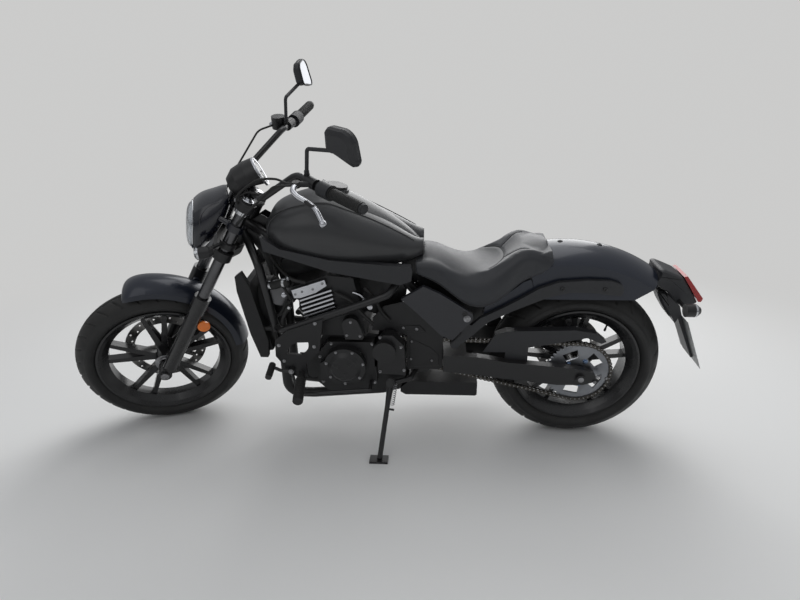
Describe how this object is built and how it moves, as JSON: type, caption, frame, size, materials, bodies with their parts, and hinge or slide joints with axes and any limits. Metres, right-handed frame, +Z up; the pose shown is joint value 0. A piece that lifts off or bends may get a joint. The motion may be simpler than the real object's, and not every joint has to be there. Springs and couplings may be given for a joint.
{
  "type": "cruiser motorcycle",
  "caption": "Low cruiser motorcycle leaning on its side stand, bars turned left: saddle tank, scooped solo seat, parallel twin engine, chain drive, single front disc",
  "frame": {"origin": "middle of the bounding box in plan, on the road", "axes": "X runs from the front wheel back to the tail, Y to the machine's right, Z up; the machine leans to its left, towards -Y"},
  "size_m": [2.3016, 0.8198, 1.39],
  "materials": {
    "painted_metal_1": "satin",
    "painted_metal_2": "satin",
    "painted_metal_3": "satin",
    "painted_metal_4": "satin",
    "matte_plastic_5": "plain",
    "leather_6": "plain",
    "painted_metal_7": "satin",
    "gloss_plastic_8": "plain",
    "aluminium_9": "plain",
    "brushed_steel_10": "plain",
    "brushed_steel_11": "plain",
    "cast_iron_12": "plain",
    "painted_metal_13": "satin",
    "chrome_14": "plain",
    "brushed_steel_15": "plain",
    "gloss_plastic_16": "plain",
    "gloss_plastic_17": "plain",
    "glass_18": "plain",
    "rubber_19": "plain",
    "aluminium_20": "plain",
    "mirror_21": "plain",
    "rubber_22": "plain",
    "tyre_23": "plain",
    "brushed_steel_24": "plain"
  },
  "bodies": {
    "chassis": {"main_frame": "painted_metal_1", "rear_rails": "painted_metal_1", "engine_cases": "painted_metal_1", "cylinder_block": "painted_metal_2", "engine_covers": "painted_metal_1", "radiator": "painted_metal_1", "exhaust": "painted_metal_3", "fuel_tank": "painted_metal_4", "frame_covers": "matte_plastic_5", "side_covers": "matte_plastic_5", "seat": "leather_6", "rear_fender": "painted_metal_7", "tail_unit": "matte_plastic_5", "tail_lens": "gloss_plastic_8", "rear_signals": "matte_plastic_5", "plate_carrier": "matte_plastic_5", "number_plate": "aluminium_9", "swingarm": "painted_metal_1", "shock": "brushed_steel_10", "chain": "brushed_steel_11", "chain_guard": "matte_plastic_5", "rear_caliper": "painted_metal_1", "footrests": "cast_iron_12", "foot_controls": "painted_metal_1"},
    "steering": {"yokes": "painted_metal_13", "stanchions": "chrome_14", "fork_sliders": "painted_metal_1", "front_axle": "brushed_steel_15", "front_fender": "painted_metal_7", "side_reflectors": "gloss_plastic_16", "headlight_shell": "gloss_plastic_17", "headlight_lens": "glass_18", "gauge": "matte_plastic_5", "handlebar": "painted_metal_1", "grips": "rubber_19", "switches": "matte_plastic_5", "levers": "aluminium_20", "mirrors": "matte_plastic_5", "mirror_glass": "mirror_21", "front_signals": "matte_plastic_5", "front_caliper": "painted_metal_1", "control_cables": "rubber_22"},
    "front_wheel": {"front_tyre": "tyre_23", "front_rim": "painted_metal_1", "front_disc": "brushed_steel_24"},
    "rear_wheel": {"rear_tyre": "tyre_23", "rear_rim": "painted_metal_1", "rear_sprocket": "brushed_steel_24", "rear_disc": "brushed_steel_24"},
    "side_stand": {"side_stand": "painted_metal_1"},
    "fuel_cap": {"fuel_cap": "painted_metal_1"}
  },
  "joints": [
    {"name": "steering", "type": "hinge", "parent": "chassis", "child": "steering", "pos_m": [-0.47451, -0.01759, 0.82571], "axis": [0.5115, -0.1349, 0.8487], "range_deg": [-58.12, 11.88]},
    {"name": "front_wheel_spin", "type": "hinge", "parent": "steering", "child": "front_wheel", "pos_m": [-0.85304, 0.04327, 0.2973], "axis": [0.3374, -0.8768, -0.3427], "continuous": true},
    {"name": "rear_wheel_spin", "type": "hinge", "parent": "chassis", "child": "rear_wheel", "pos_m": [0.71794, 0.0645, 0.30912], "axis": [0, -0.9876, -0.157], "continuous": true},
    {"name": "side_stand_fold", "type": "hinge", "parent": "chassis", "child": "side_stand", "pos_m": [0.04154, -0.09456, 0.25872], "axis": [-0.0587, -0.9337, 0.3533], "range_deg": [0, 91]},
    {"name": "fuel_cap_lid", "type": "hinge", "parent": "chassis", "child": "fuel_cap", "pos_m": [-0.18548, -0.04044, 0.96945], "axis": [0, -0.9876, -0.157], "range_deg": [0, 90]}
  ]
}
